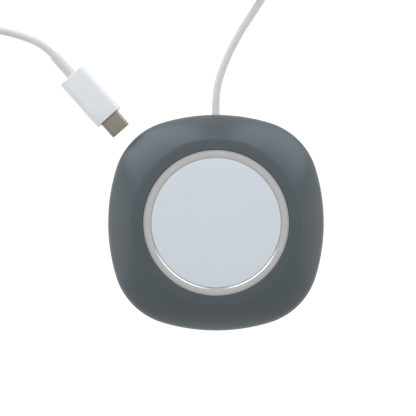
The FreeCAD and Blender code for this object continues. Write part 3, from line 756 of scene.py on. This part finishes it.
def makePlugBezel():
    s = plugShape
    around = 2 * s["wall"] + s["bezelGap"]
    size = (s["width"] - around, s["height"] - around, s["corner"] - s["wall"])
    hole = (s["shellWidth"] + s["holeGap"], s["shellHeight"] + s["holeGap"], s["shellHeight"] / 2)
    edge, back = s["bezelEdge"], -s["bezelDepth"]
    bend = -s["bezelSink"] - edge
    rings = [shrunkSection(back, 0, *size), shrunkSection(bend, 0, *size)]
    for ahead, up in arc(0, 0, edge, 90, 0, 4)[1:]:
        rings.append(shrunkSection(bend + ahead, edge - up, *size))
    for ahead, up in arc(0, 0, edge, 0, 90, 4):
        rings.append(shrunkSection(bend + ahead, up - edge, *hole))
    rings.append(shrunkSection(back, 0, *hole))
    bezel = skin("plugBezel", rings, loop=True)
    smoothShade(bezel, 35)
    dress(bezel, "plug_white", "plug_front_bezel")


def makePlugShell():
    s = plugShape
    size = (s["shellWidth"], s["shellHeight"], s["shellHeight"] / 2 - s["shellFlat"])
    lip = s["shellWall"] / 2
    tip, back = s["shellLength"], -s["shellTuck"]
    rings = [shrunkSection(back, 0, *size), shrunkSection(0, 0, *size),
             shrunkSection(tip * 0.5, 0, *size)]
    for ahead, up in arc(0, 0, lip, 90, -90, 10):
        rings.append(shrunkSection(tip - lip + ahead, lip - up, *size))
    rings += [shrunkSection(tip * 0.5, 2 * lip, *size), shrunkSection(back, 2 * lip, *size)]
    shell = skin("plugShell", rings, loop=True)
    smoothShade(shell, 35)
    dress(shell, "plug_metal", "plug_shell")


def makePlugCollar():
    s = plugShape
    end = -plugSet["bodyLength"]
    start = end - plugSet["collarLength"]
    edge, tip = s["collarEdge"], s["collarTip"]
    profile = [(start, cableSet["radius"] - s["collarBite"]), (start, tip - edge)]
    profile += [(start + edge - along, tip - edge + out)
                for along, out in arc(0, 0, edge, 0, 90, 6)]
    profile += [(start + s["collarStraight"], tip + s["collarSwell"]),
                (end + s["collarTuck"], s["collarRadius"])]
    rings = [[plugPlace @ Vector((x, point.x, point.y))
              for point in circleRing(radius, 0, s["collarAround"])] for x, radius in profile]
    collar = skin("plugCollar", rings)
    smoothShade(collar, 35)
    dress(collar, "cable_white", "plug_collar")


makePlugBody()
makePlugBezel()
makePlugShell()
makePlugCollar()
print("connector made")

# ---- straps round the spare turns

strapSet = {
    "angles": (200, 20),
    "width": 3.0 * mm,
    "thick": 0.5 * mm,
    "slack": 0.1 * mm,
    "edge": 0.12 * mm,
    "offFloor": 0.02 * mm,
    # corners of the wound turns' section: radius and height
    "section": [(11.1, 1.3), (11.9, 0.5), (19.3, 0.5), (20.1, 1.3), (20.1, 6.5), (18.6, 9.1),
                (12.6, 9.1), (11.1, 6.5)],
}


def strapRings(angle):
    corners = [Vector(corner) * mm for corner in strapSet["section"]]
    half, edge = strapSet["width"] / 2, strapSet["edge"]
    near = strapSet["slack"]
    far = near + strapSet["thick"]
    centreX, centreY = cableSet["spareCentre"]
    place = Matrix.Translation((centreX, centreY, 0)) @ Matrix.Rotation(math.radians(angle), 4, "Z")
    rings = []
    for i, corner in enumerate(corners):
        before = corner - corners[i - 1]
        after = corners[(i + 1) % len(corners)] - corner
        start = math.degrees(math.atan2(before.y, before.x)) - 90
        sweep = -math.degrees(before.angle_signed(after))
        for x, z in arc(0, 0, 1, start, start + sweep, 5):
            ring = []
            for out, side in ((near, -half + edge), (near, half - edge), (near + edge, half),
                              (far - edge, half), (far, half - edge), (far, -half + edge),
                              (far - edge, -half), (near + edge, -half)):
                ring.append(place @ Vector((corner.x + x * out, side,
                                            max(corner.y + z * out, strapSet["offFloor"]))))
            rings.append(ring)
    return rings


def makeStraps():
    straps = []
    for angle in strapSet["angles"]:
        strap = skin("cableStrap%d" % angle, strapRings(angle), loop=True)
        smoothShade(strap, 40)
        straps.append(dress(strap, "tie_grey", "cable_ties"))
    return straps


straps = makeStraps()
print("straps made")

# ---- floor and light

floorSet = {"half": 1.6, "diffuse": 0.3, "glow": 0.90}  # metres, shade, its own light


def makeFloor():
    half = floorSet["half"]
    mesh = bpy.data.meshes.new("paleFloor")
    mesh.from_pydata([(-half, -half, 0), (half, -half, 0), (half, half, 0), (-half, half, 0)],
                     [], [(0, 1, 2, 3)])
    floor = bpy.data.objects.new("paleFloor", mesh)
    bpy.context.scene.collection.objects.link(floor)
    f = Finish("paleFloor")
    shade = floorSet["diffuse"]
    floor.data.materials.append(f.finish({
        "Base Color": (shade, shade, shade, 1.0), "Roughness": 1.0, "Specular IOR Level": 0.0,
        "Emission Color": (1.0, 1.0, 1.0, 1.0), "Emission Strength": floorSet["glow"]}))


# each softbox: where it shines from, in degrees round from +X and up, then its size in metres,
# its power and, where it isn't plain white, its tint
softboxes = {
    "keyLeft": {"round": 126, "up": 14, "wide": 0.56, "tall": 0.42, "power": 1.66,
                "tint": (0.94, 1.0, 1.05)},
    "keyRight": {"round": 54, "up": 14, "wide": 0.56, "tall": 0.42, "power": 1.36,
                 "tint": (0.94, 1.0, 1.05)},
    "sideLeft": {"round": 186, "up": 12, "wide": 0.50, "tall": 0.26, "power": 0.23},
    "sideRight": {"round": -6, "up": 12, "wide": 0.50, "tall": 0.26, "power": 0.14},
    "overhead": {"round": 90, "up": 66, "wide": 0.6, "tall": 0.5, "power": 0.38},
}
lightDistance = 0.6
roomLight = {"colour": (0.95, 0.97, 1.0, 1.0), "strength": 0.645}


def makeLights():
    for name, box in softboxes.items():
        data = bpy.data.lights.new(name, "AREA")
        data.shape = "RECTANGLE"
        data.size = box["wide"]
        data.size_y = box["tall"]
        data.energy = box["power"]
        data.color = box.get("tint", (1.0, 1.0, 1.0))
        lamp = bpy.data.objects.new(name, data)
        turn, rise = math.radians(box["round"]), math.radians(box["up"])
        way = Vector((math.cos(turn) * math.cos(rise), math.sin(turn) * math.cos(rise),
                      math.sin(rise)))
        lamp.location = way * lightDistance
        lamp.rotation_euler = way.to_track_quat("Z", "Y").to_euler()
        bpy.context.scene.collection.objects.link(lamp)
    world = bpy.data.worlds.new("paleRoom")
    world.use_nodes = True
    background = world.node_tree.nodes["Background"]
    background.inputs["Color"].default_value = roomLight["colour"]
    background.inputs["Strength"].default_value = roomLight["strength"]
    bpy.context.scene.world = world
    bpy.context.scene.view_settings.view_transform = "Standard"


makeFloor()
makeLights()
print("floor and lights placed")

# ---- bring the scene up to date

bpy.context.view_layer.update()
